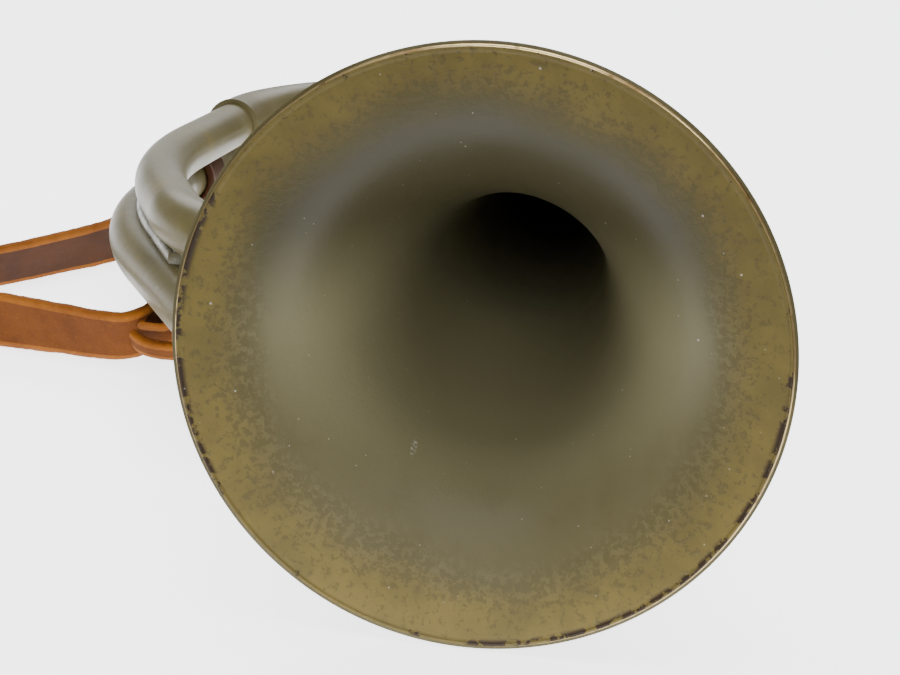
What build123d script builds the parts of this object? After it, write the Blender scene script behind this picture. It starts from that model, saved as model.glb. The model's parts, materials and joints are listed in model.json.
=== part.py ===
from build123d import *
import math
import os

# Coiled brass signal horn with a leather carrying strap, lying on its side.
# Units are millimetres.
#
# The horn is drawn in its own frame and then laid down. In the horn frame a
# place is given as (u, v, z): u runs from the mouth of the bell to the back
# along the bell's axis, v runs to the left of that axis, and z is up. The
# laid-down part has the mouth towards -Y, the coil towards -X and the surface
# that it rests on at z = 0. Its origin is the middle of its base.

# ---- Driving dimensions -------------------------------------------------

# Bell
RIM_R = 48.5            # outside of the rolled rim
RIM_BEAD = 0.9          # radius of the rolled rim
RIM_WIRE_R = 0.5        # wire inside the rolled rim
RIM_WIRE_FIT = 0.04
BRASS = 0.6             # sheet and tube wall
FLARE_GAIN = 114.9      # inside radius: FLARE_GAIN / (u + FLARE_START) ** FLARE_POWER + cone
FLARE_START = 6.0
FLARE_POWER = 0.6
CONE_FRONT_R = 8.0      # the cone shrinks from this at the mouth
CONE_BACK_R = 2.4       # to this at the end of the stem
STEM_END = 232.0        # back end of the bell stem

# Tubing of the coil
TUBE_R = 6.2
SLEEVE_R = 7.0
SLEEVE_FIT = 0.02
SLEEVE_LENGTH = 16.0

# Upper loop, which joins the bell
BOW_TUBE_R = 7.3        # larger tube of the upper rear bow
LOOP_V = 104.8          # left side of the upper loop
SIDE_KNEE_U = 155.3     # where the left side begins to close in
TAPER_DEG = 24.5        # how far it closes in
SIDE_BEND_R = 165.0
NOSE_U = 82.0           # front of the upper loop
NOSE_R = 34.0
MIDDLE_V = 7.5          # middle tube, below the stem
MIDDLE_Z = -21.8
MIDDLE_FRONT_U = 130.0
FERRULE_U = 230.0       # front edge of the ferrule on the left side
UPPER_BOW_U = 239.0

# Lower loop, which joins the mouthpiece
LOWER_V = 110.2         # left side of the lower loop, nested under the upper
LOWER_Z = -11.5
LOWER_SPREAD_U = 188.0  # behind here the two turns part to make room for the strap
LOWER_BACK_V = 115.0
LOWER_BACK_Z = -13.5
LOWER_BACK_U = 206.0
SPREAD_BEND_R = 40.0
LOWER_KNEE_U = 142.9
LOWER_BEND_R = 132.0
LOWER_NOSE_U = 57.0
LOWER_NOSE_V = 56.6
LOWER_NOSE_Z = -16.5
CROSS_V = -11.0         # where the lower front bow turns back, below the bell
CROSS_Z = -27.0
LOWER_NOSE_R = 36.0
LOWER_BOW_U = 246.0

# Solder run in the crease between the two turns
SOLDER_STATIONS = (106, 118, 130, 142, 152)
SOLDER_SKEW = 4.0       # the lower turn is met this much further forward
SOLDER_LIFT = 2.3
SOLDER_R = 1.7

# Stays between neighbouring tubes
STEM_STAY_R = 3.2
STEM_STAYS = {"stem_front_stay": 150, "stem_rear_stay": 212}
LEAD_STAY_R = 3.0
LEAD_STAYS = {"lead_front_stay": 150, "lead_rear_stay": 216}
REAR_STAY_R = 3.4
STEM_ROOM_U = 90.0      # the stays are cut to the stem from here back

# Lead pipe, receiver and mouthpiece
LEAD_END = (250.0, -8.5, -14.2)
LEAD_JOINT = 52.0       # from the corner of the lower front bow to the lead pipe
RECEIVER_BACK = 22.0    # length of the receiver behind the lead pipe
RECEIVER_FRONT = 8.0    # length of the receiver over the lead pipe
RECEIVER_R = 7.6
SHANK_R = 5.0
SHANK_FIT = 0.05
SHANK_DEPTH = 20.0
MOUTHPIECE_LENGTH = 40.0    # from the receiver's end to the rim
MOUTHPIECE_R = 12.4
CUP_R = 8.6
CUP_DEPTH = 12.0
CUP_BORE_R = 1.9

# How the horn rests
REST_TILT = 4.04        # bell axis, mouth up
REST_ROLL = 3.17        # coil side down
REST_LIFT = 48.5        # bell axis at the mouth, above the surface

# Strap
STRAP_WIDTH = 13.0
STRAP_THICK = 2.4
STRAP_GAP = 0.5         # between the wrapped leather and the tube
FRONT_WRAP_U = 65.0
REAR_WRAP_U = 221.0
STRAP_FRONT_U = 105.5   # the front leg runs straight out to the left here
STRAP_LOCK_V = 95.0     # where the front leg leaves its lock
STRAP_FOLD_V = 129.5    # the loop folds up about this line
STRAP_FLEX = 7.5        # length of leather left free to flex beside the fold
STRAP_TIP_V = 175.6     # where the two legs would meet
STRAP_TIP_R = 7.0
STRAP_SIDE = (174.0, 120.7)     # where the rear leg turns to run along the coil
STRAP_REAR_END = (208.0, 122.9)
LOCK_SIZE = (12.0, 8.0, 12.0)


# ---- Frames --------------------------------------------------------------

def horn(u, v, z):
    """A place in the horn frame."""
    return Vector(-v, u, z)


def lay_down(shape):
    """Turn a shape of the horn frame into the way the horn rests."""
    rolled = shape.rotate(Axis.Y, -REST_ROLL)
    tilted = rolled.rotate(Axis.X, -REST_TILT)
    return tilted.translate((0, 0, REST_LIFT))


# ---- Building blocks -------------------------------------------------------

def section_plane(path, at):
    return Plane(origin=path @ at, z_dir=path % at)


def rod(path, radius):
    """A round bar along a path."""
    return sweep(section_plane(path, 0) * Circle(radius), path)


def pipe(path, outer):
    """A thin round tube along a path."""
    ring = Circle(outer) - Circle(outer - BRASS)
    return sweep(section_plane(path, 0) * ring, path)


def collar(start, end, outer, inner):
    """A straight sleeve between two places."""
    along = end - start
    plane = Plane(origin=start, z_dir=along)
    return extrude(plane * (Circle(outer) - Circle(inner)), along.length)


def bar(start, end, radius):
    """A straight round bar between two places."""
    along = end - start
    return extrude(Plane(origin=start, z_dir=along) * Circle(radius), along.length)


def turned(points):
    """A solid of revolution about the bell axis from (u, r) points."""
    outline = Polyline(*[(0, u, r) for u, r in points], close=True)
    return revolve(make_face(outline), Axis.Y)


def turned_along(start, direction, points):
    """A solid of revolution about any line from (distance, radius) points."""
    outline = Polyline(*[(r, 0, d) for d, r in points], close=True)
    body = revolve(make_face(outline), Axis.Z)
    return Plane(origin=start, z_dir=direction) * body


# ---- Bell -------------------------------------------------------------------

def flare_radius(u):
    """Inside radius of the bell at a distance behind the mouth."""
    cone = CONE_FRONT_R + (CONE_BACK_R - CONE_FRONT_R) * u / STEM_END
    return FLARE_GAIN / (u + FLARE_START) ** FLARE_POWER + cone


def bell_line(wall):
    """The bell's inside or outside line from rim to stem."""
    stations = [1.4, 3.2, 6, 11, 19, 31, 50, 78, 115, 165, STEM_END]
    return [(0, u, flare_radius(u) + wall) for u in stations]


def rim_torus(radius):
    centre = (0, RIM_BEAD, RIM_R - RIM_BEAD)
    return revolve(Plane(origin=centre, z_dir=(1, 0, 0)) * Circle(radius), Axis.Y)


def make_bell():
    inner = bell_line(0)
    outer = bell_line(BRASS)
    bead_back = 2 * RIM_BEAD
    rim = [
        inner[0],
        (0, 0, RIM_R - 2 * RIM_BEAD + 0.3),
        (0, 0, RIM_R - 0.5),
        (0, 0.5, RIM_R),
        (0, bead_back - 0.6, RIM_R),
        (0, bead_back, RIM_R - 0.7),
        (0, bead_back, flare_radius(bead_back) + 2.6),
        outer[0],
    ]
    sides = [Spline(*inner), Line(inner[-1], outer[-1]), Spline(*outer), Polyline(*rim)]
    edges = [edge for side in sides for edge in side.edges()]
    return revolve(make_face(Wire(edges)), Axis.Y) - rim_torus(RIM_WIRE_R + RIM_WIRE_FIT)


# ---- Centre lines -------------------------------------------------------------

def upper_loop_line():
    run = NOSE_U - SIDE_KNEE_U
    nose_v = LOOP_V + run * math.tan(math.radians(TAPER_DEG))
    corners = [
        horn(UPPER_BOW_U, LOOP_V, 0),
        horn(SIDE_KNEE_U, LOOP_V, 0),
        horn(NOSE_U, nose_v, 0),
        horn(NOSE_U, MIDDLE_V, MIDDLE_Z),
        horn(MIDDLE_FRONT_U, MIDDLE_V, MIDDLE_Z),
    ]
    return FilletPolyline(*corners, radius=[SIDE_BEND_R, NOSE_R, NOSE_R])


def cross_corner():
    """Where the lower front bow turns back into the lead pipe."""
    return horn(LOWER_NOSE_U, CROSS_V, CROSS_Z)


def lead_direction():
    return (horn(*LEAD_END) - cross_corner()).normalized()


def lead_joint():
    return cross_corner() + lead_direction() * LEAD_JOINT


def lower_loop_line():
    corners = [
        horn(LOWER_BOW_U, LOWER_BACK_V, LOWER_BACK_Z),
        horn(LOWER_BACK_U, LOWER_BACK_V, LOWER_BACK_Z),
        horn(LOWER_SPREAD_U, LOWER_V, LOWER_Z),
        horn(LOWER_KNEE_U, LOWER_V, LOWER_Z),
        horn(LOWER_NOSE_U, LOWER_NOSE_V, LOWER_NOSE_Z),
        cross_corner(),
        lead_joint(),
    ]
    radii = [SPREAD_BEND_R, SPREAD_BEND_R, LOWER_BEND_R, LOWER_NOSE_R, LOWER_NOSE_R]
    return FilletPolyline(*corners, radius=radii)


def half_circle(start, end):
    """A rear bow's centre line: a half circle that bulges to the back."""
    back = (start + end) * 0.5 + Vector(0, (end - start).length / 2, 0)
    return ThreePointArc(start, back, end)


def upper_bow_line():
    return half_circle(horn(UPPER_BOW_U, 0, 0), horn(UPPER_BOW_U, LOOP_V, 0))


def lower_bow_line():
    start = horn(LOWER_BOW_U, MIDDLE_V, MIDDLE_Z)
    return half_circle(start, horn(LOWER_BOW_U, LOWER_BACK_V, LOWER_BACK_Z))


def middle_line():
    front = horn(MIDDLE_FRONT_U, MIDDLE_V, MIDDLE_Z)
    return Line(front, horn(LOWER_BOW_U, MIDDLE_V, MIDDLE_Z))


def place_at_u(path, u, side_v):
    """The fraction along a path where it passes u on the side nearest side_v."""
    steps = 400
    best = 0
    best_miss = 1e9
    for step in range(steps + 1):
        place = path @ (step / steps)
        miss = abs(place.Y - u) + 0.2 * abs(-place.X - side_v)
        if miss < best_miss:
            best = step / steps
            best_miss = miss
    return best


# ---- Sleeves and ferrules ------------------------------------------------------

def make_upper_ferrule():
    """Sleeve with a lip, where the coil enters the larger bow."""
    front = horn(FERRULE_U, LOOP_V, 0)
    lip = horn(FERRULE_U + 1.4, LOOP_V, 0)
    back = horn(UPPER_BOW_U, LOOP_V, 0)
    inner = TUBE_R + SLEEVE_FIT
    return collar(front, back, BOW_TUBE_R, inner) + collar(front, lip, BOW_TUBE_R + 0.3, inner)


def make_stem_ferrule():
    """Sleeve over the end of the stem and the start of the upper rear bow."""
    front = STEM_END - 7
    back = UPPER_BOW_U
    outer = BOW_TUBE_R + 0.9
    gap = BRASS + SLEEVE_FIT
    return turned([
        (front, flare_radius(front) + gap + 0.06),
        (front, outer - 0.2),
        (front + 0.4, outer),
        (back - 0.4, outer),
        (back, outer - 0.2),
        (back, BOW_TUBE_R + SLEEVE_FIT),
        (STEM_END, flare_radius(STEM_END) + gap),
    ])


def sleeve_at(place, direction):
    half = direction.normalized() * (SLEEVE_LENGTH / 2)
    return collar(place - half, place + half, SLEEVE_R, TUBE_R + SLEEVE_FIT)


# ---- Lead pipe, receiver and mouthpiece ---------------------------------------

def make_receiver():
    """Socket that holds the mouthpiece, with a ring at its mouth."""
    length = RECEIVER_FRONT + RECEIVER_BACK
    start = horn(*LEAD_END) - lead_direction() * RECEIVER_FRONT
    return turned_along(start, lead_direction(), [
        (0, TUBE_R + SLEEVE_FIT),
        (0, RECEIVER_R),
        (length - 4, RECEIVER_R),
        (length - 3.4, RECEIVER_R + 1.0),
        (length - 0.6, RECEIVER_R + 1.0),
        (length, RECEIVER_R + 0.4),
        (length, SHANK_R + SHANK_FIT),
        (RECEIVER_FRONT, SHANK_R + SHANK_FIT),
        (RECEIVER_FRONT, TUBE_R + SLEEVE_FIT),
    ])


def make_mouthpiece():
    """Turned cup mouthpiece. Distances run backwards from the shank's tip."""
    start = horn(*LEAD_END) + lead_direction() * (RECEIVER_BACK - SHANK_DEPTH)
    rim = SHANK_DEPTH + MOUTHPIECE_LENGTH
    throat = rim - CUP_DEPTH
    return turned_along(start, lead_direction(), [
        (0, SHANK_R - 1.0),
        (0, SHANK_R),
        (SHANK_DEPTH + 0.6, SHANK_R),
        (SHANK_DEPTH + 6, SHANK_R + 0.7),
        (SHANK_DEPTH + 9, SHANK_R + 1.9),
        (SHANK_DEPTH + 12, SHANK_R + 0.6),
        (throat - 5, SHANK_R + 1.6),
        (throat + 1, MOUTHPIECE_R - 4.2),
        (rim - 6, MOUTHPIECE_R - 2.2),
        (rim - 3.6, MOUTHPIECE_R - 0.5),
        (rim - 2.2, MOUTHPIECE_R),
        (rim - 0.9, MOUTHPIECE_R - 0.4),
        (rim, MOUTHPIECE_R - 1.8),
        (rim - 0.4, CUP_R + 0.6),
        (rim - 1.5, CUP_R),
        (rim - 6, CUP_R - 0.9),
        (throat + 3, CUP_R - 2.6),
        (throat, CUP_BORE_R),
        (throat - 7, CUP_BORE_R),
    ])


# ---- Stays and solder ------------------------------------------------------------

def stay(place_a, place_b, radius, clear):
    """A round post between two tubes, cut to the shape of both."""
    post = bar(place_a, place_b, radius)
    for tube in clear:
        post = post - tube
    return max(post.solids(), key=lambda part: part.volume)


def make_stays(bell):
    stem_room = bell + turned([
        (STEM_ROOM_U, 0),
        (STEM_ROOM_U, flare_radius(STEM_ROOM_U) + BRASS),
        (STEM_END, flare_radius(STEM_END) + BRASS),
        (STEM_END, 0),
    ])
    middle_room = rod(middle_line(), TUBE_R)
    lead = Line(lead_joint(), horn(*LEAD_END))
    lead_room = rod(lead, TUBE_R)
    upper_room = rod(upper_bow_line(), BOW_TUBE_R)
    lower_room = rod(lower_bow_line(), TUBE_R)
    stays = {}
    for name, u in STEM_STAYS.items():
        on_middle = horn(u, MIDDLE_V, MIDDLE_Z)
        stays[name] = stay(horn(u, 0, 0), on_middle, STEM_STAY_R, [stem_room, middle_room])
    for name, u in LEAD_STAYS.items():
        on_lead = lead @ place_at_u(lead, u, 0)
        on_middle = horn(u, MIDDLE_V, MIDDLE_Z)
        stays[name] = stay(on_lead, on_middle, LEAD_STAY_R, [lead_room, middle_room])
    on_upper = upper_bow_line() @ 0.5
    on_lower = lower_bow_line() @ 0.5
    stays["rear_bow_stay"] = stay(on_upper, on_lower, REAR_STAY_R, [upper_room, lower_room])
    return stays


def make_loop_solder():
    """Solder run in the upper crease between the two turns."""
    upper = upper_loop_line()
    lower = lower_loop_line()
    places = []
    for u in SOLDER_STATIONS:
        a = upper @ place_at_u(upper, u, LOOP_V)
        b = lower @ place_at_u(lower, u - SOLDER_SKEW, LOWER_V)
        across = (b - a).normalized()
        outward = across.cross(Vector(0, 1, 0)).normalized()
        if outward.Z < 0:
            outward = outward * -1
        places.append((a + b) * 0.5 + outward * SOLDER_LIFT)
    bead = rod(Spline(*places), SOLDER_R)
    bead = bead - rod(upper, TUBE_R) - rod(lower, TUBE_R)
    return max(bead.solids(), key=lambda part: part.volume)


# ---- Strap -------------------------------------------------------------------------

def wrap_ring(path, u, side_v):
    """A strap end wrapped once round a tube."""
    at = place_at_u(path, u, side_v)
    half = (path % at) * (STRAP_WIDTH / 2)
    inner = TUBE_R + STRAP_GAP
    return collar(path @ at - half, path @ at + half, inner + STRAP_THICK, inner)


def strap_wall(points, radii):
    """A strip of leather standing on its edge along a line on the surface."""
    places = [(-v, u, 0) for u, v in points]
    line = FilletPolyline(*places, radius=radii) if radii else Line(*places)
    edge = Plane(origin=line @ 0, x_dir=(0, 0, 1), z_dir=line % 0)
    strip = edge * Pos(STRAP_WIDTH / 2, 0) * Rectangle(STRAP_WIDTH, STRAP_THICK)
    return sweep(strip, line)


def rear_leg_u(v):
    """Where the rear leg, which runs straight from the tip to the coil, passes v."""
    side_u, side_v = STRAP_SIDE
    return STRAP_FRONT_U + (side_u - STRAP_FRONT_U) * (STRAP_TIP_V - v) / (STRAP_TIP_V - side_v)


def make_strap_loop():
    """The part of the strap that swings: out to the tip and back."""
    fold = STRAP_FOLD_V + STRAP_FLEX
    points = [(STRAP_FRONT_U, fold), (STRAP_FRONT_U, STRAP_TIP_V), (rear_leg_u(fold), fold)]
    return strap_wall(points, [STRAP_TIP_R])


def make_strap_front_leg():
    return strap_wall([(STRAP_FRONT_U, STRAP_LOCK_V), (STRAP_FRONT_U, STRAP_FOLD_V)], [])


def make_strap_rear_leg():
    start = (rear_leg_u(STRAP_FOLD_V), STRAP_FOLD_V)
    return strap_wall([start, STRAP_SIDE, STRAP_REAR_END], [8])


def make_front_lock():
    """The folded lock at the front end, below the lower loop."""
    length, depth, height = LOCK_SIZE
    middle = (-STRAP_LOCK_V + length / 2 + 0.5, STRAP_FRONT_U + 2, STRAP_WIDTH / 2)
    return Pos(*middle) * Box(length, depth, height)


# ---- Assembly ---------------------------------------------------------------------

def build_horn():
    bell = make_bell()
    upper = upper_loop_line()
    lower = lower_loop_line()
    middle = middle_line()
    lead = Line(lead_joint(), horn(*LEAD_END))
    parts = {
        "bell": bell,
        "rim_wire": rim_torus(RIM_WIRE_R),
        "stem_ferrule": make_stem_ferrule(),
        "upper_rear_bow": pipe(upper_bow_line(), BOW_TUBE_R),
        "upper_side_ferrule": make_upper_ferrule(),
        "upper_loop_tube": pipe(upper, TUBE_R),
        "middle_front_sleeve": sleeve_at(middle @ 0, middle % 0),
        "middle_tube": pipe(middle, TUBE_R),
        "middle_rear_sleeve": sleeve_at(middle @ 1 - Vector(0, SLEEVE_LENGTH / 2, 0), middle % 1),
        "lower_rear_bow": pipe(lower_bow_line(), TUBE_R),
        "lower_side_sleeve": sleeve_at(lower @ 0 - Vector(0, SLEEVE_LENGTH / 2, 0), lower % 0),
        "lower_loop_tube": pipe(lower, TUBE_R),
        "lead_sleeve": sleeve_at(lead @ 0, lead % 0),
        "lead_pipe": pipe(lead, TUBE_R),
        "mouthpiece_receiver": make_receiver(),
        "mouthpiece": make_mouthpiece(),
        "loop_solder": make_loop_solder(),
        "strap_front_wrap": wrap_ring(lower, FRONT_WRAP_U, LOWER_V),
        "strap_rear_wrap": wrap_ring(lower, REAR_WRAP_U, LOWER_V),
    }
    parts.update(make_stays(bell))
    return {name: lay_down(shape) for name, shape in parts.items()}


def build():
    parts = build_horn()
    parts["strap_loop"] = make_strap_loop()
    parts["strap_front_leg"] = make_strap_front_leg()
    parts["strap_rear_leg"] = make_strap_rear_leg()
    parts["strap_front_lock"] = make_front_lock()
    box = Compound(children=[solid for shape in parts.values() for solid in shape.solids()]).bounding_box()
    middle = box.center()
    to_origin = Vector(-middle.X, -middle.Y, -box.min.Z)
    print("extents", box.size, "shift", to_origin)
    return {name: shape.translate(to_origin) for name, shape in parts.items()}


def write():
    os.makedirs("parts", exist_ok=True)
    for name, shape in build().items():
        export_step(shape, f"parts/{name}.step")


write()
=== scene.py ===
import json
import math

import bpy
from mathutils import Matrix, Vector, noise


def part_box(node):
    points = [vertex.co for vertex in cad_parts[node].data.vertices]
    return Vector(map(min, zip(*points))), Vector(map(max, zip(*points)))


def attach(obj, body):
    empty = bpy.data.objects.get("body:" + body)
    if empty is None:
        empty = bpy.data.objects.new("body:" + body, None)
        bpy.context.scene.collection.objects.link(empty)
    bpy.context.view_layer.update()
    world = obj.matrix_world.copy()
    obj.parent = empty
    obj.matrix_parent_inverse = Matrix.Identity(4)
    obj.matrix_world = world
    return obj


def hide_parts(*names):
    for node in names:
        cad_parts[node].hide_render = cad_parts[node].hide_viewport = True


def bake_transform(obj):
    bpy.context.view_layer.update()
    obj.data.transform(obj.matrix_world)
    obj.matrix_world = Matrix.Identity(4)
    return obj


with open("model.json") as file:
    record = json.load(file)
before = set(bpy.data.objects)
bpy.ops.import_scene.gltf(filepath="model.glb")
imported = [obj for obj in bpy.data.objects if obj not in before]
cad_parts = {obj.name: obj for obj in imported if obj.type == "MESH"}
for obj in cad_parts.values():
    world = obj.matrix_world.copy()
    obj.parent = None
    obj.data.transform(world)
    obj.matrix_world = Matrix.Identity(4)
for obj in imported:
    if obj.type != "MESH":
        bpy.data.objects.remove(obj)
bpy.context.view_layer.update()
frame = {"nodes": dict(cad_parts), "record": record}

# The painted brass horn on a pale floor, seen from in front of its bell. A
# place on the horn is given in mm as (u, v, z): u behind the mouth along the
# bell's axis, v to the left of it and z up.

MM = 0.001

# How the horn lies: mouth tilted up, coil side rolled down.
REST_TILT = math.radians(4.04)
REST_ROLL = math.radians(3.17)
LAND_HEIGHT = 47.5
NODES = frame["nodes"]


def mount(name):
    return next(m for m in frame["record"]["mounts"] if m["name"] == name)


LAY = Matrix.Rotation(-REST_TILT, 4, "X") @ Matrix.Rotation(-REST_ROLL, 4, "Y")
MOUTH = Vector(mount("mouth_land")["pos_m"]) - LAY @ Vector((0, 0, LAND_HEIGHT * MM))
HORN = Matrix.Translation(MOUTH) @ LAY


def horn(u, v, z):
    """A place of the horn, in metres, before the horn is laid down."""
    return Vector((-v, u, z)) * MM


# The strap lies on the floor, so its places aren't tilted.
FLOOR_U = MOUTH.y
FLOOR_V = MOUTH.x


def on_floor(u, v, z):
    """A place of the strap, in the row frame."""
    return Vector((FLOOR_V - v * MM, FLOOR_U + u * MM, z * MM))


# ---- Materials --------------------------------------------------------------

class Graph:
    """A material's nodes, built one call at a time."""

    def __init__(self, name):
        self.material = bpy.data.materials.new(name)
        self.material.use_nodes = True
        self.tree = self.material.node_tree
        self.tree.nodes.clear()
        self.shader = self.tree.nodes.new("ShaderNodeBsdfPrincipled")
        output = self.tree.nodes.new("ShaderNodeOutputMaterial")
        self.tree.links.new(self.shader.outputs[0], output.inputs["Surface"])

    def put(self, socket, value):
        """Link a socket to another node's output, or set it to a value."""
        if isinstance(value, bpy.types.NodeSocket):
            self.tree.links.new(value, socket)
        elif isinstance(value, tuple) and len(value) == 3 and socket.type == "RGBA":
            socket.default_value = value + (1.0,)
        else:
            socket.default_value = value

    def node(self, kind, settings=None, **inputs):
        """Add a node, with its settings and its inputs by name."""
        made = self.tree.nodes.new(kind)
        for key, value in (settings or {}).items():
            setattr(made, key, value)
        for key, value in inputs.items():
            self.put(made.inputs[key.replace("_", " ")], value)
        return made

    def math(self, operation, *values):
        made = self.tree.nodes.new("ShaderNodeMath")
        made.operation = operation
        for socket, value in zip(made.inputs, values):
            self.put(socket, value)
        return made.outputs[0]

    def vector(self, operation, *values):
        made = self.tree.nodes.new("ShaderNodeVectorMath")
        made.operation = operation
        for socket, value in zip(made.inputs, values):
            self.put(socket, value)
        return made.outputs["Value" if operation == "LENGTH" else "Vector"]

    def ramp(self, value, low, high, to_low=0.0, to_high=1.0):
        """A smooth step of value from low to high."""
        made = self.tree.nodes.new("ShaderNodeMapRange")
        made.interpolation_type = "SMOOTHSTEP"
        for socket, given in zip(made.inputs, (value, low, high, to_low, to_high)):
            self.put(socket, given)
        return made.outputs[0]

    def mix(self, amount, first, second):
        made = self.tree.nodes.new("ShaderNodeMix")
        made.data_type = "RGBA"
        self.put(made.inputs["Factor"], amount)
        self.put(made.inputs["A"], first)
        self.put(made.inputs["B"], second)
        return made.outputs["Result"]

    def place(self):
        return self.node("ShaderNodeTexCoord").outputs["Object"]

    def horn_place(self):
        """The place along and around the bell: y behind the mouth, z up across it."""
        back = HORN.inverted()
        return self.node("ShaderNodeMapping", Vector=self.place(), Location=tuple(back.translation),
                         Rotation=tuple(back.to_euler())).outputs["Vector"]

    def noise(self, place, scale, detail=3.0, roughness=0.55, distortion=0.0):
        made = self.node("ShaderNodeTexNoise", Vector=place, Scale=scale, Detail=detail,
                         Roughness=roughness, Distortion=distortion)
        return made.outputs["Fac"]

    def specks(self, place, scale, size, share):
        """Round specks: one in each cell of a grid, kept in that share of the cells."""
        made = self.node("ShaderNodeTexVoronoi", Vector=place, Scale=scale)
        near = self.ramp(made.outputs["Distance"], size, size * 0.6)
        chance = self.node("ShaderNodeSeparateColor", Color=made.outputs["Color"]).outputs["Red"]
        return self.math("MULTIPLY", near, self.math("LESS_THAN", chance, share))

    def bump(self, height, strength, distance, under=None):
        """A bump, in metres, on top of the one under it."""
        made = self.node("ShaderNodeBump", Strength=strength, Distance=distance, Height=height)
        if under is not None:
            self.put(made.inputs["Normal"], under)
        return made.outputs["Normal"]

    def finish(self, color, roughness, normal, **constants):
        """Connect the shader and give back the material. Constants go on the shader's own inputs."""
        self.put(self.shader.inputs["Base Color"], color)
        self.put(self.shader.inputs["Roughness"], roughness)
        self.put(self.shader.inputs["Normal"], normal)
        for key, value in constants.items():
            self.shader.inputs[key.replace("_", " ")].default_value = value
        return self.material


# Colours, as linear red, green and blue.
OLIVE = (0.082, 0.068, 0.026)
OLIVE_PALE = (0.110, 0.094, 0.042)
OLIVE_DARK = (0.056, 0.047, 0.018)
BELL_OLIVE = (0.098, 0.084, 0.036)
OCHRE = (0.155, 0.116, 0.030)
OCHRE_DEEP = (0.122, 0.092, 0.026)
BROWN = (0.035, 0.021, 0.011)
DUST = (0.62, 0.60, 0.53)
BELL_PALE = (0.118, 0.103, 0.050)
BELL_BROWN = (0.086, 0.070, 0.026)
# Painted light and shade inside the bell: a pale lit olive, an olive in shade and black for the shaded
# throat.
BELL_PAINTED_LIGHT = (0.235, 0.215, 0.120)
BELL_SHADE = (0.040, 0.035, 0.015)
THROAT_PAINTED_SHADE = (0.003, 0.004, 0.004)
PAINT_ISLAND = (0.072, 0.060, 0.022)
SOLDER_PALE_AND_HIGHLIGHT = (0.17, 0.16, 0.11)
MOUTHPIECE_BRASS = (0.56, 0.42, 0.19)
WIRE_BRASS = (0.6, 0.46, 0.22)
TARNISH = (0.23, 0.145, 0.062)
TARNISH_SPOTS = (0.13, 0.08, 0.035)
FLOOR_TINTS = ((0.84, 0.85, 0.87), (0.87, 0.875, 0.89))
FLOOR_PAINTED_SHADOW = (0.12, 0.12, 0.12)
FLOOR_GLOW = (0.98, 0.985, 1.0)

# Inside the bell, in metres: radii between which one paint turns into the next. The throat's radii
# bound painted shade, the next pair painted light and the rim edge's pair a painted highlight.
THROAT_RADII = (0.0120, 0.0085)
PAINTED_LIGHT_RADII = (0.042, 0.026)
WORN_RADII = (0.0350, 0.0440)
ISLAND_RADII = (0.034, 0.039)
THINNING_RADII = (0.0355, 0.0480)
RIM_RADII = (0.0462, 0.0472)
RIM_HIGHLIGHT_RADII = (0.0476, 0.0483)

# Inside the bell, in metres: the heights between which painted shade darkens its upper part, and
# how far right of, behind and above the mouth's middle the scrape is.
SHADE_HEIGHTS = (-0.002, 0.022)
SCRAPE = (-0.0131, 0.0180, -0.0208)

# Where a painted shadow darkens the floor in front of the mouth, in metres.
FLOOR_SHADOW_EDGES = (-0.24, -0.185)


def outside_paint(name):
    """Satin olive paint on the outside of the bell and tubes."""
    g = Graph(name)
    place = g.place()
    cloud = g.noise(place, 38.0, 4.0)
    color = g.mix(g.ramp(cloud, 0.3, 0.7), OLIVE, OLIVE_PALE)
    yellow = g.ramp(g.noise(place, 95.0, 3.0), 0.56, 0.74)
    color = g.mix(g.math("MULTIPLY", yellow, 0.45), color, OCHRE)
    fine = g.noise(place, 900.0, 3.0, 0.6)
    color = g.mix(g.math("MULTIPLY", g.ramp(fine, 0.5, 0.75), 0.22), color, OLIVE_DARK)
    chips = g.ramp(g.noise(place, 260.0, 5.0, 0.7), 0.735, 0.75)
    color = g.mix(g.math("MULTIPLY", chips, 0.8), color, OCHRE)
    dust = g.specks(place, 330.0, 0.08, 0.08)
    color = g.mix(g.math("MULTIPLY", dust, 0.35), color, DUST)
    rough = g.ramp(cloud, 0.25, 0.75, 0.32, 0.42)
    rough = g.math("ADD", rough, g.math("MULTIPLY", fine, 0.06))
    normal = g.bump(fine, 0.16, 0.0002)
    normal = g.bump(g.noise(place, 160.0, 2.0), 0.20, 0.0005, normal)
    normal = g.bump(chips, 0.4, -0.00005, normal)
    return g.finish(color, rough, normal, Specular_IOR_Level=0.22)


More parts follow.
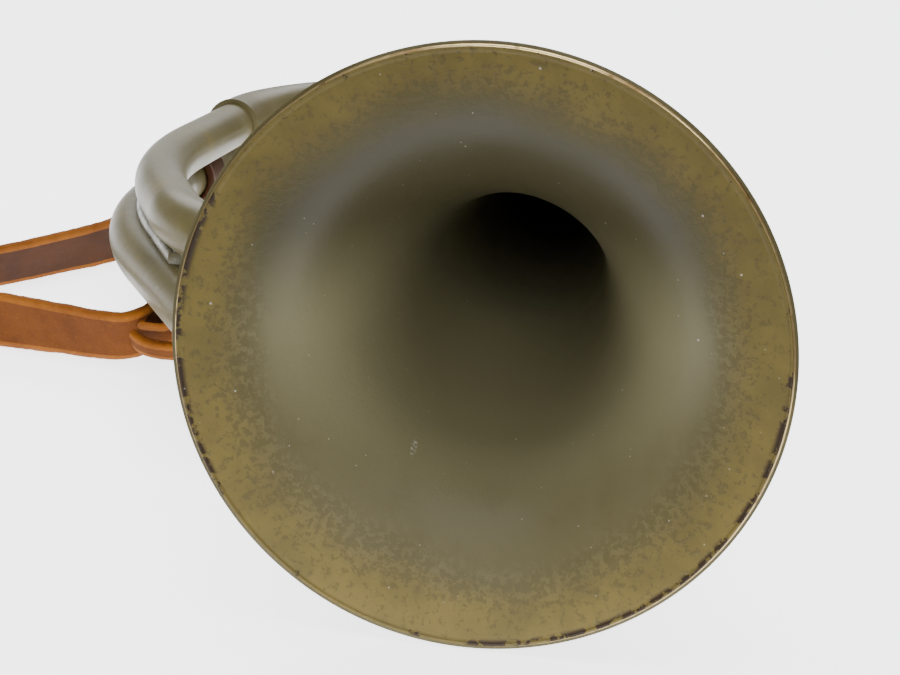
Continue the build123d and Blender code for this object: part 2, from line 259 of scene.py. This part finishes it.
def inside_paint():
    """Bell paint, worn to ochre in a ring at the mouth; painted light and shade, black in the throat.
    """
    g = Graph("bell_inside_paint")
    place = g.horn_place()
    radius = g.vector("LENGTH", g.vector("MULTIPLY", place, (1.0, 0.0, 1.0)))
    split = g.node("ShaderNodeSeparateXYZ", Vector=place)
    cloud = g.noise(place, 34.0, 4.0, 0.55)
    blot = g.noise(place, 110.0, 4.0, 0.6)
    fine = g.noise(place, 1500.0, 2.0, 0.6)

    middle = g.mix(g.ramp(cloud, 0.3, 0.7), BELL_OLIVE, BELL_PALE)
    middle = g.mix(g.math("MULTIPLY", g.ramp(blot, 0.48, 0.72), 0.35), middle, BELL_BROWN)

    # Painted light: paler low down and deep in. Painted shade: darker at the top, black in the throat.
    low = g.math("MULTIPLY", split.outputs["Z"], 0.35)
    deep = g.ramp(g.math("SUBTRACT", radius, low), *PAINTED_LIGHT_RADII)
    middle = g.mix(g.math("MULTIPLY", deep, 0.8), middle, BELL_PAINTED_LIGHT)
    high = g.ramp(split.outputs["Z"], *SHADE_HEIGHTS)
    middle = g.mix(g.math("MULTIPLY", high, 0.93), middle, BELL_SHADE)
    throat = g.ramp(radius, *THROAT_RADII)
    middle = g.mix(g.math("MULTIPLY", throat, 0.97), middle, THROAT_PAINTED_SHADE)

    # Worn ring: paint left in islands that thin out towards the rim.
    edge = g.math("ADD", radius, g.math("MULTIPLY", g.math("SUBTRACT", cloud, 0.5), 0.010))
    ochre = g.mix(g.ramp(blot, 0.35, 0.65), OCHRE, OCHRE_DEEP)
    worn = g.ramp(edge, *WORN_RADII)
    color = g.mix(worn, middle, ochre)
    spots = g.noise(place, 900.0, 5.0, 0.66, 0.15)
    bare = g.ramp(edge, *THINNING_RADII, 0.46, 0.60)
    over = g.math("SUBTRACT", spots, bare)
    island = g.math("MULTIPLY", g.ramp(over, -0.06, 0.08), g.ramp(edge, *ISLAND_RADII))
    color = g.mix(g.math("MULTIPLY", island, 0.60), color, PAINT_ISLAND)

    # Rim: chipped to dark metal mostly low on the right and on the left, paler at its edge as a painted
    # highlight.
    rim = g.ramp(radius, *RIM_RADII)
    low_right = g.ramp(g.math("SUBTRACT", split.outputs["X"], split.outputs["Z"]), 0.028, 0.055)
    left = g.ramp(split.outputs["X"], -0.036, -0.046)
    where = g.math("MAXIMUM", low_right, left)
    chips = g.math("ADD", g.noise(place, 330.0, 5.0, 0.65), g.math("MULTIPLY", where, 0.13))
    chipped = g.math("MULTIPLY", g.ramp(chips, 0.60, 0.63), rim)
    color = g.mix(chipped, color, BROWN)
    color = g.mix(g.math("MULTIPLY", g.ramp(radius, *RIM_HIGHLIGHT_RADII), 0.5), color, OLIVE_PALE)

    dust = g.specks(place, 330.0, 0.075, 0.12)
    color = g.mix(g.math("MULTIPLY", dust, 0.55), color, DUST)
    tiny = g.specks(place, 900.0, 0.14, 0.06)
    color = g.mix(g.math("MULTIPLY", tiny, 0.35), color, DUST)

    # A small bright scrape low inside the bell, a little left of the middle.
    away = g.vector("MULTIPLY", g.vector("SUBTRACT", place, SCRAPE), (2200.0, 430.0, 430.0))
    inside = g.ramp(g.vector("LENGTH", away), 1.2, 0.7)
    scrape = g.math("MULTIPLY", inside, g.ramp(g.noise(place, 1700.0, 4.0, 0.7), 0.49, 0.60))
    color = g.mix(g.math("MULTIPLY", scrape, 0.55), color, DUST)

    rough = g.ramp(cloud, 0.3, 0.7, 0.34, 0.46)
    rough = g.math("ADD", rough, g.math("MULTIPLY", worn, 0.10))
    rough = g.math("ADD", rough, g.math("MULTIPLY", throat, 0.25))
    normal = g.bump(fine, 0.22, 0.00012)
    normal = g.bump(blot, 0.25, 0.0004, normal)
    normal = g.bump(island, 0.5, 0.00006, normal)
    normal = g.bump(chipped, 0.6, -0.0001, normal)
    return g.finish(color, rough, normal, Specular_IOR_Level=0.24)


def solder_paint():
    """Paint rubbed thin over a run of solder, paler on its lumps, partly as a painted highlight."""
    g = Graph("solder_paint_worn_and_highlight")
    place = g.place()
    lump = g.noise(place, 240.0, 4.0, 0.6)
    # Paler on the lumps: thin paint over solder, and a painted highlight.
    color = g.mix(g.ramp(lump, 0.45, 0.70), OLIVE, SOLDER_PALE_AND_HIGHLIGHT)
    normal = g.bump(g.noise(place, 800.0, 3.0), 0.3, 0.0002)
    return g.finish(color, g.ramp(lump, 0.3, 0.7, 0.42, 0.26), normal)


def brass(name, tint):
    """Handled brass with brown tarnish in the hollows."""
    g = Graph(name)
    place = g.place()
    cloud = g.noise(place, 60.0, 5.0, 0.6)
    color = g.mix(g.ramp(cloud, 0.42, 0.7), tint, TARNISH)
    spots = g.ramp(g.noise(place, 480.0, 4.0, 0.65), 0.60, 0.68)
    color = g.mix(g.math("MULTIPLY", spots, 0.6), color, TARNISH_SPOTS)
    turned = g.vector("MULTIPLY", place, (60.0, 4000.0, 60.0))
    rings = g.node("ShaderNodeTexNoise", Vector=turned, Scale=1.0)
    rough = g.ramp(cloud, 0.3, 0.75, 0.24, 0.48)
    normal = g.bump(rings.outputs["Fac"], 0.10, 0.00005)
    return g.finish(color, rough, normal, Metallic=1.0)


def leather(name, base, deep, wear, fibre):
    """Tan harness leather. fibre is how loose the surface's fibres stand."""
    g = Graph(name)
    place = g.place()
    cloud = g.noise(place, 90.0, 4.0, 0.6)
    grain = g.noise(place, 900.0, 5.0, 0.7, 0.4)
    nap = g.noise(place, 2600.0, 3.0, 0.7)
    color = g.mix(g.ramp(cloud, 0.32, 0.70), base, deep)
    color = g.mix(g.math("MULTIPLY", g.ramp(grain, 0.50, 0.78), 0.55), color, wear)
    color = g.mix(g.math("MULTIPLY", g.ramp(nap, 0.50, 0.30), 0.40), color, deep)
    creases = g.node("ShaderNodeTexVoronoi", {"feature": "DISTANCE_TO_EDGE"}, Vector=place,
                     Scale=620.0)
    pores = g.ramp(creases.outputs["Distance"], 0.0, 0.12)
    rough = g.ramp(grain, 0.3, 0.75, 0.58 + 0.2 * fibre, 0.74 + 0.2 * fibre)
    normal = g.bump(grain, 0.35 + 0.3 * fibre, 0.0003)
    normal = g.bump(pores, 0.15, 0.0001, normal)
    normal = g.bump(nap, 0.3, 0.0002, normal)
    return g.finish(color, rough, normal, Sheen_Weight=0.04 * fibre, Sheen_Roughness=0.5,
                    Specular_IOR_Level=0.14)


def floor_sheet():
    """A pale glowing floor with a painted shadow, dark and unlit in front of the mouth, below the
    camera's view.
    """
    g = Graph("pale_floor")
    place = g.place()
    cloud = g.noise(place, 6.0, 3.0)
    split = g.node("ShaderNodeSeparateXYZ", Vector=place)
    # Painted shadow: dark and without glow in front of the mouth.
    lit = g.ramp(split.outputs["Y"], *FLOOR_SHADOW_EDGES)
    color = g.mix(cloud, *FLOOR_TINTS)
    color = g.mix(lit, FLOOR_PAINTED_SHADOW, color)
    normal = g.bump(g.noise(place, 500.0, 2.0), 0.05, 0.0002)
    g.put(g.shader.inputs["Emission Color"], g.mix(lit, (0, 0, 0), FLOOR_GLOW))
    return g.finish(color, 0.5, normal, Specular_IOR_Level=0.25, Emission_Strength=2.7)


PAINT_OUT = outside_paint("olive_outside_paint")
PAINT_IN = inside_paint()
SOLDER = solder_paint()
BRASS = brass("mouthpiece_tarnish", MOUTHPIECE_BRASS)
WIRE = brass("wire_brass", WIRE_BRASS)
FLESH = leather("leather_flesh_side", fibre=1.0, base=(0.120, 0.036, 0.005),
                deep=(0.080, 0.022, 0.003), wear=(0.175, 0.062, 0.011))
EDGE = leather("leather_cut_edge", fibre=1.0, base=(0.220, 0.070, 0.006),
               deep=(0.140, 0.040, 0.003), wear=(0.310, 0.120, 0.015))
# The grain side in a darker copy of its colour, as painted shade.
GRAIN_PAINTED_SHADE = leather("leather_grain_side_painted_shade", fibre=0.0, base=(0.050, 0.016, 0.004),
                deep=(0.034, 0.011, 0.003), wear=(0.075, 0.027, 0.009))

for name, node in NODES.items():
    finish = {"mouthpiece": BRASS, "rim_wire": WIRE}.get(name, PAINT_OUT)
    node.data.materials.clear()
    node.data.materials.append(finish)


# ---- Mesh helpers -------------------------------------------------------------

def mesh_object(name, points, faces, materials, face_material=None):
    """A smooth mesh in the row frame. face_material picks a material for each face."""
    mesh = bpy.data.meshes.new(name)
    mesh.from_pydata([tuple(point) for point in points], [], faces)
    for material in materials:
        mesh.materials.append(material)
    if face_material is not None:
        mesh.polygons.foreach_set("material_index", face_material)
    mesh.polygons.foreach_set("use_smooth", [True] * len(mesh.polygons))
    mesh.update()
    obj = bpy.data.objects.new(name, mesh)
    bpy.context.scene.collection.objects.link(obj)
    bpy.context.view_layer.update()
    return obj


def tube_faces(rings, across, closed_ends=False):
    """Quads of rings of points, each ring closed."""
    faces = []
    for i in range(rings - 1):
        for j in range(across):
            k = (j + 1) % across
            faces.append((i * across + j, i * across + k, (i + 1) * across + k, (i + 1) * across + j))
    if closed_ends:
        faces.append(tuple(reversed(range(across))))
        faces.append(tuple(range((rings - 1) * across, rings * across)))
    return faces


def wander(point, scale, seed):
    """Smooth noise from about -1 to 1."""
    return noise.noise(point * scale + Vector((seed * 7.31, seed * 3.17, seed * 5.77)))


# ---- Bell --------------------------------------------------------------------

RIM_R = 48.5
RIM_BEAD = 0.9
WALL = 0.6
STEM_END = 232.0
FLARE_GAIN = 114.9
FLARE_START = 6.0
FLARE_POWER = 0.6
CONE_MOUTH_R = 8.0
CONE_TAPER = 5.6
BELL_AROUND = 224
BEAD_POINTS = 22
BEAD_START = 95
BEAD_STEP = 14


def flare_radius(u):
    """Inside radius of the bell, in mm, at a distance behind the mouth."""
    cone = CONE_MOUTH_R - CONE_TAPER * u / STEM_END
    return FLARE_GAIN / (u + FLARE_START) ** FLARE_POWER + cone


def flare_normal(u):
    """Direction in (u, r) out of the wall, away from the axis."""
    step = 0.01
    slope = (flare_radius(u + step) - flare_radius(max(u - step, 0))) / (step + min(u, step))
    length = math.hypot(1, slope)
    return -slope / length, 1 / length


def even_stations(first, last, spacing):
    """Distances behind the mouth, evenly spread along the wall's curve."""
    stations = [first]
    walked = 0.0
    u = first
    while u < last:
        step = 0.02 if u < 8 else 0.2
        walked += math.hypot(step, flare_radius(u + step) - flare_radius(u))
        u += step
        reach = spacing * (1.0 if u < 12 else 1.6 if u < 40 else 3.0)
        if walked >= reach:
            stations.append(u)
            walked = 0.0
    stations[-1] = last
    return stations


def bell_profile():
    """(u, r, material) around the bell's section, from the stem inside to the stem outside."""
    inside = [(u, flare_radius(u), 0) for u in reversed(even_stations(0.15, STEM_END, 0.75))]
    bead = []
    for step in range(BEAD_POINTS):
        turn = math.radians(BEAD_START - step * BEAD_STEP)
        side = 0 if step < BEAD_POINTS / 2 else 1
        back = RIM_BEAD - RIM_BEAD * math.sin(turn)
        radius = RIM_R - RIM_BEAD - RIM_BEAD * math.cos(turn)
        bead.append((back, radius, side))
    outside = []
    for u in even_stations(1.7, STEM_END, 0.9):
        du, dr = flare_normal(u)
        wall = min(WALL, 0.2 + 0.03 * u)
        outside.append((u + du * wall, flare_radius(u) + dr * wall, 1))
    return inside + bead + outside


def make_bell():
    """The bell as spun: its section turned about the axis, with shallow unevenness."""
    profile = bell_profile()
    around = BELL_AROUND
    points = []
    for u, r, side in profile:
        for step in range(around):
            turn = 2 * math.pi * step / around
            ray = Vector((math.sin(turn), 0, math.cos(turn)))
            place = ray * (r * MM) + Vector((0, u * MM, 0))
            soft = min(1.0, r / 20.0)
            swell = 0.10 * wander(place, 26, 1) + 0.05 * wander(place, 60, 2)
            swell += 0.05 * math.sin(3 * turn + 0.6) + 0.03 * math.sin(7 * turn)
            du, dr = flare_normal(max(u, 0.2))
            back = swell * soft * MM
            place += Vector((0, du * back, 0)) + ray * (dr * back)
            points.append(HORN @ place)
    faces = tube_faces(len(profile), around)
    kinds = []
    for ring in range(len(profile) - 1):
        kinds += [profile[ring + 1][2]] * around
    first = (len(profile) - 1) * around
    for step in range(around):
        after = (step + 1) % around
        faces.append((first + step, first + after, after, step))
        kinds.append(1)
    return mesh_object("bell_spun", points, faces, [PAINT_IN, PAINT_OUT], kinds)


bell = make_bell()
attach(bell, "horn")
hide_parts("bell")


# ---- Centre lines ---------------------------------------------------------------

def rounded_line(corners, radii, spacing):
    """Places along straight runs joined by tangent arcs, about spacing mm apart."""
    line = [corners[0]]
    for before, corner, after, radius in zip(corners, corners[1:], corners[2:], radii):
        back = (before - corner).normalized()
        ahead = (after - corner).normalized()
        half = back.angle(ahead) / 2
        reach = radius * MM / math.tan(half)
        centre = corner + (back + ahead).normalized() * (radius * MM / math.sin(half))
        start = corner + back * reach - centre
        turn = math.pi - 2 * half
        steps = max(4, int(turn * radius / spacing))
        axis = back.cross(ahead)
        for step in range(steps + 1):
            line.append(centre + Matrix.Rotation(-turn * step / steps, 3, axis) @ start)
    line.append(corners[-1])
    filled = []
    for here, there in zip(line, line[1:]):
        pieces = max(1, int((there - here).length / (spacing * MM)))
        filled += [here.lerp(there, piece / pieces) for piece in range(pieces)]
    return filled + [line[-1]]


def nearest(line, u):
    """The first place on a centre line that passes u, given in mm."""
    return min(line, key=lambda place: abs(place.y - u * MM))


# The left side of each turn: a straight run, a knee, and a run in towards the front bow.
UPPER_V = 104.8
UPPER_BEND_R = 165
LOWER_V = 110.2
LOWER_Z = -11.5
LOWER_BEND_R = 132
SIDE_SPACING = 0.1
UPPER_CORNERS = [horn(239, UPPER_V, 0), horn(155.3, UPPER_V, 0), horn(82, 71.4, 0)]
LOWER_CORNERS = [horn(188, LOWER_V, LOWER_Z), horn(142.9, LOWER_V, LOWER_Z), horn(57, 56.6, -16.5)]
UPPER_SIDE = rounded_line(UPPER_CORNERS, [UPPER_BEND_R], SIDE_SPACING)
LOWER_SIDE = rounded_line(LOWER_CORNERS, [LOWER_BEND_R], SIDE_SPACING)


# ---- Solder between the two turns ---------------------------------------------------

# The lower turn's side runs SOLDER_SKEW nearer the mouth where the two turns lie closest.
SOLDER_START = 87
SOLDER_LENGTH = 69
SOLDER_SKEW = 4
SOLDER_R = 1.0
SOLDER_FLATNESS = 1.6
SOLDER_OUT = 1.9


def make_solder():
    """A lumpy bead in the crease between the two turns of tube."""
    points = []
    stations = 150
    around = 16
    for step in range(stations + 1):
        u = SOLDER_START + SOLDER_LENGTH * step / stations
        upper = nearest(UPPER_SIDE, u)
        lower = nearest(LOWER_SIDE, u - SOLDER_SKEW)
        across = (lower - upper).normalized()
        out = across.cross(Vector((0, 1, 0))).normalized()
        if out.z < 0:
            out = -out
        lump = wander(Vector((0, u * MM, 0)), 110, 4) + 0.3 * wander(Vector((0, u * MM, 0)), 300, 5)
        taper = min(1, step / 14, (stations - step) / 14) ** 0.5
        radius = max(0.05, (SOLDER_R + 0.10 * lump) * taper)
        middle = upper.lerp(lower, 0.5) + out * ((SOLDER_OUT + 0.08 * lump) * MM)
        for turn in range(around):
            angle = 2 * math.pi * turn / around
            side = across * (math.cos(angle) * SOLDER_FLATNESS) + out * math.sin(angle)
            place = middle + side * (radius * MM)
            place += out * (0.07 * MM * wander(place, 700, 6))
            points.append(HORN @ place)
    return mesh_object("solder_bead", points, tube_faces(stations + 1, around, True), [SOLDER])


solder = make_solder()
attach(solder, "horn")
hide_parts("loop_solder")


# ---- Strap ------------------------------------------------------------------------

STRAP_WIDTH = 13.0
STRAP_THICK = 2.1
STRAP_CORNER = 0.8
WRAP_R = 7.5
WRAP_SWEEP = 385
UP = Vector((0, 0, 1))
LEFT = Vector((-1, 0, 0))


def curve_through(stations, spacing=0.8):
    """Catmull-Rom places and width directions through (place, across) stations."""
    ends = [stations[0]] + list(stations) + [stations[-1]]
    made = []
    for before, here, there, after in zip(ends, ends[1:], ends[2:], ends[3:]):
        steps = max(2, int((there[0] - here[0]).length / (spacing * MM)))
        for step in range(steps):
            t = step / steps
            blends = (-0.5 * t ** 3 + t * t - 0.5 * t, 1.5 * t ** 3 - 2.5 * t * t + 1,
                      -1.5 * t ** 3 + 2 * t * t + 0.5 * t, 0.5 * t ** 3 - 0.5 * t * t)
            around = (before, here, there, after)
            place = sum((near[0] * share for near, share in zip(around, blends)), Vector())
            smooth = t * t * (3 - 2 * t)
            made.append((place, here[1].lerp(there[1], smooth).normalized()))
    return made + [stations[-1]]


def strip_section(width, thick):
    """(across, out, kind) round a strip's section. kind: 0 outer face, 1 cut edge, 2 inner face."""
    corner = STRAP_CORNER
    half = width / 2
    deep = thick / 2
    section = []
    across = max(4, int(width / 0.9))
    for step in range(across):
        section.append((-half + corner + (width - 2 * corner) * step / across, deep, 0 if step else 1))
    corners = ((half - corner, deep - corner, 90), (half - corner, corner - deep, 0),
               (corner - half, corner - deep, -90), (corner - half, deep - corner, -180))
    for centre_a, centre_b, first in corners:
        for step in range(4):
            turn = math.radians(first - 30 * step)
            section.append((centre_a + corner * math.cos(turn), centre_b + corner * math.sin(turn), 1))
        if first == 90:
            section += [(half, (deep - corner) * (1 - 2 * step / 4), 1) for step in range(1, 4)]
        if first == 0:
            for step in range(1, across):
                section.append((half - corner - (width - 2 * corner) * step / across, -deep, 2))
        if first == -90:
            section += [(-half, (corner - deep) * (1 - 2 * step / 4), 1) for step in range(1, 4)]
    return section


class Leather:
    """Strips of leather gathered into one mesh."""

    def __init__(self):
        self.points = []
        self.faces = []
        self.kinds = []

    def strip(self, stations, seed, width=STRAP_WIDTH, droop=0.0, swell=1.0, dark=False):
        """Add a strip along (place, across) stations.

        droop bends its first side down in an arch, swell is how wavy it is, and dark gives it
        the grain side's darker colour all round, a painted shade.
        """
        line = curve_through(stations)
        section = strip_section(width, STRAP_THICK)
        count = len(section)
        base = len(self.points)
        for index, (place, across) in enumerate(line):
            ahead = line[min(index + 1, len(line) - 1)][0] - line[max(index - 1, 0)][0]
            ahead.normalize()
            side = (across - ahead * across.dot(ahead)).normalized()
            out = ahead.cross(side)
            for a, b, kind in section:
                spot = place + side * (a * MM)
                rough = 0.10 * wander(spot + out * b * MM, 420, seed + 1)
                rough += 0.06 * wander(spot, 1300, seed + 2)
                wave = 0.22 * wander(spot, 60, seed + 3)
                torn = 0.16 * wander(spot + out * b * MM, 900, seed + 4) if kind == 1 else 0
                width_wave = 0.25 * wander(place, 70, seed + 5 + (a > 0))
                bend = droop * max(0.0, 0.15 - a / width) ** 2 * width
                reach = b + math.copysign(rough, b) * (kind != 1) + wave * swell - bend
                stretch = a + math.copysign(1, a) * (torn + width_wave * abs(2 * a / width) * swell)
                spot = place + side * (stretch * MM) + out * (reach * MM)
                spot.z = max(spot.z, 0.0)
                self.points.append(spot)
        for ring in range(len(line) - 1):
            for j in range(count):
                k = (j + 1) % count
                low = base + ring * count
                self.faces.append((low + j, low + k, low + count + k, low + count + j))
                kind = section[j][2] if section[j][2] == section[k][2] else 1
                self.kinds.append(2 if dark else kind)
        self.cap(base, section, False)
        self.cap(base + (len(line) - 1) * count, section, True)

    def cap(self, first, section, last):
        """Close a strip's end with its cut face."""
        ring = list(range(first, first + len(section)))
        self.faces.append(tuple(ring if last else reversed(ring)))
        self.kinds.append(1)

    def build(self, name, materials):
        return mesh_object(name, self.points, self.faces, materials, self.kinds)


def standing(u, v, lean_u=0.0, lean_v=0.0, low=0.25):
    """A station of strap standing on its edge on the floor: its foot and how far its top leans."""
    tall = math.sqrt(STRAP_WIDTH ** 2 - lean_u ** 2 - lean_v ** 2)
    across = Vector((-lean_v, lean_u, tall)).normalized()
    return on_floor(u, v, low) + across * (STRAP_WIDTH / 2 * MM), across


def ring_stations(node, along, start):
    """Stations of a strip wrapped round a tube that runs along, at a CAD wrap's middle."""
    low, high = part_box(node)
    middle = (Vector(low) + Vector(high)) / 2
    along = (LAY @ along).normalized()
    first = along.cross(UP).normalized()
    second = along.cross(first)
    made = []
    for step in range(13):
        turn = math.radians(start + WRAP_SWEEP * step / 12)
        grow = WRAP_R + 0.25 * step / 12
        made.append((middle + (first * math.cos(turn) + second * math.sin(turn)) * (grow * MM), along))
    return made


def add_loop(leather):
    """The rear leg from the coil's back to the tip, and the front leg back in to the lock."""
    leather.strip([
        standing(222, 124.6, 0, 0, 5.0), standing(216, 124.4, 0, 0, 3.2),
        standing(208, 122.9, 0, 0, 1.0), standing(197, 122.2), standing(186, 121.8),
        standing(177, 121.0, -1.5, -0.6), standing(170.5, 124.4, -3.6, -1.6),
        standing(161.6, 132.1, -4.6, -2.4), standing(147.4, 142.6, -4.8, -2.6),
        standing(132, 154.5, -3.6, -2.2), standing(119, 165.0, -1.6, -1.2),
        standing(112.4, 170.6, 0.2, 0.2), standing(108.0, 171.6, 0.4, 0.6),
        standing(105.2, 168.0, 0.2, 0.6), standing(105.0, 160), standing(105.7, 145),
        standing(106.0, 132), standing(105.9, 124.7), standing(105.8, 116, -1.6, -0.4),
        standing(105.6, 108, -2.8, -0.9), standing(105.2, 100, -3.8, -1.4),
        standing(105.6, 94.6, -4.2, -1.6, 0.4), standing(107.6, 91.2, -3.6, -1.4, 0.9),
        standing(110.8, 88.4, -2.4, -1.0, 1.6), standing(113.6, 84.4, -1.2, -0.6, 2.6)], seed=10)


def add_free_end(leather):
    """The free end, down the inside of the lower turn and then forward over the slit."""
    leather.strip([
        (on_floor(84.9, 63.0, 24.0), UP), (on_floor(92.5, 68.0, 23.8), UP),
        (on_floor(100.5, 73.2, 22.6), (UP + LEFT * 0.1).normalized()),
        (on_floor(107.0, 77.6, 20.4), (UP + LEFT * 0.9).normalized()),
        (on_floor(109.6, 81.0, 16.8), (UP * 0.15 + LEFT).normalized()),
        (on_floor(108.8, 83.0, 13.2), LEFT), (on_floor(106.2, 83.6, 10.6), LEFT),
        (on_floor(102.6, 83.8, 9.6), LEFT)], seed=20, droop=1.4, swell=0.5)


def add_slit_lip(leather):
    """The lower lip of the slit."""
    leaning = (UP + Vector((0, -0.45, 0))).normalized()
    lip = ((106.5, 92.6, 8.6), (104.4, 91.8, 6.2), (103.2, 88.6, 4.6),
           (103.0, 83.0, 4.2), (103.6, 76.5, 4.8), (105.0, 71.0, 6.4))
    leather.strip([(on_floor(*place), leaning) for place in lip], seed=30, width=5.0, swell=0.4)


def make_strap():
    """The loop, the free end and slit that lock it, and the two rings round the lower turn."""
    leather = Leather()
    add_loop(leather)
    add_free_end(leather)
    add_slit_lip(leather)
    front = ring_stations("strap_front_wrap", Vector((0.78, -0.62, 0)), 20)
    rear = ring_stations("strap_rear_wrap", Vector((0, 1, 0)), -60)
    leather.strip(front, seed=40, swell=0.3)
    # The rear wrap is dark all round: painted shade where it shows through the coil's gap.
    leather.strip(rear, seed=50, swell=0.3, dark=True)
    return leather.build("strap_leather", [FLESH, EDGE, GRAIN_PAINTED_SHADE])


strap = make_strap()
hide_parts("strap_loop", "strap_front_leg", "strap_rear_leg", "strap_front_lock",
            "strap_front_wrap", "strap_rear_wrap")
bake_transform(strap)


# ---- Camera, light and floor ----------------------------------------------------

def look(place, yaw, pitch, roll):
    """A camera's matrix: yaw from +Y towards +X, pitch down, roll clockwise."""
    ahead = Vector((math.sin(yaw) * math.cos(pitch), math.cos(yaw) * math.cos(pitch), -math.sin(pitch)))
    level = Vector((math.cos(yaw), -math.sin(yaw), 0))
    upright = level.cross(ahead)
    right = level * math.cos(roll) + upright * math.sin(roll)
    up = upright * math.cos(roll) - level * math.sin(roll)
    turn = Matrix((right, up, -ahead)).transposed()
    return Matrix.Translation(place) @ turn.to_4x4()


EYE = MOUTH + Vector((31.0, -239.2, 92.1)) * MM
EYE_YAW = math.radians(-8.37)
EYE_PITCH = math.radians(20.147)
EYE_ROLL = math.radians(2.462)

camera = bpy.data.objects.new("camera", bpy.data.cameras.new("camera"))
bpy.context.scene.collection.objects.link(camera)
camera.matrix_world = look(EYE, EYE_YAW, EYE_PITCH, EYE_ROLL)
camera.data.lens = 67.5
camera.data.sensor_width = 36.0
camera.data.clip_start = 0.01
bpy.context.scene.camera = camera


def soft_light(name, place, target, size, power):
    """A rectangular light, with its size in metres and its power in watts."""
    data = bpy.data.lights.new(name, "AREA")
    data.shape = "RECTANGLE"
    data.size, data.size_y = size
    data.energy = power
    light = bpy.data.objects.new(name, data)
    bpy.context.scene.collection.objects.link(light)
    light.location = place
    light.rotation_euler = (Vector(target) - Vector(place)).to_track_quat("-Z", "Y").to_euler()


soft_light("overhead_softbox", (0.0, -0.10, 1.3), (0, -0.02, 0), (1.3, 0.9), 20)
soft_light("back_softbox", (-0.3, 1.3, 0.9), (-0.02, 0.0, 0.03), (1.4, 0.7), 20)
soft_light("front_softbox", (0.18, -1.25, 0.62), (0.05, -0.12, 0.04), (0.9, 0.45), 9)

world = bpy.data.worlds.new("studio")
bpy.context.scene.world = world
world.use_nodes = True
background = world.node_tree.nodes["Background"]
background.inputs["Color"].default_value = (0.93, 0.95, 1.0, 1.0)
background.inputs["Strength"].default_value = 0.32

FLOOR_HALF = 3
corners = [(x * FLOOR_HALF, y * FLOOR_HALF, 0) for x, y in ((-1, -1), (1, -1), (1, 1), (-1, 1))]
floor = mesh_object("floor", corners, [(0, 1, 2, 3)], [floor_sheet()])
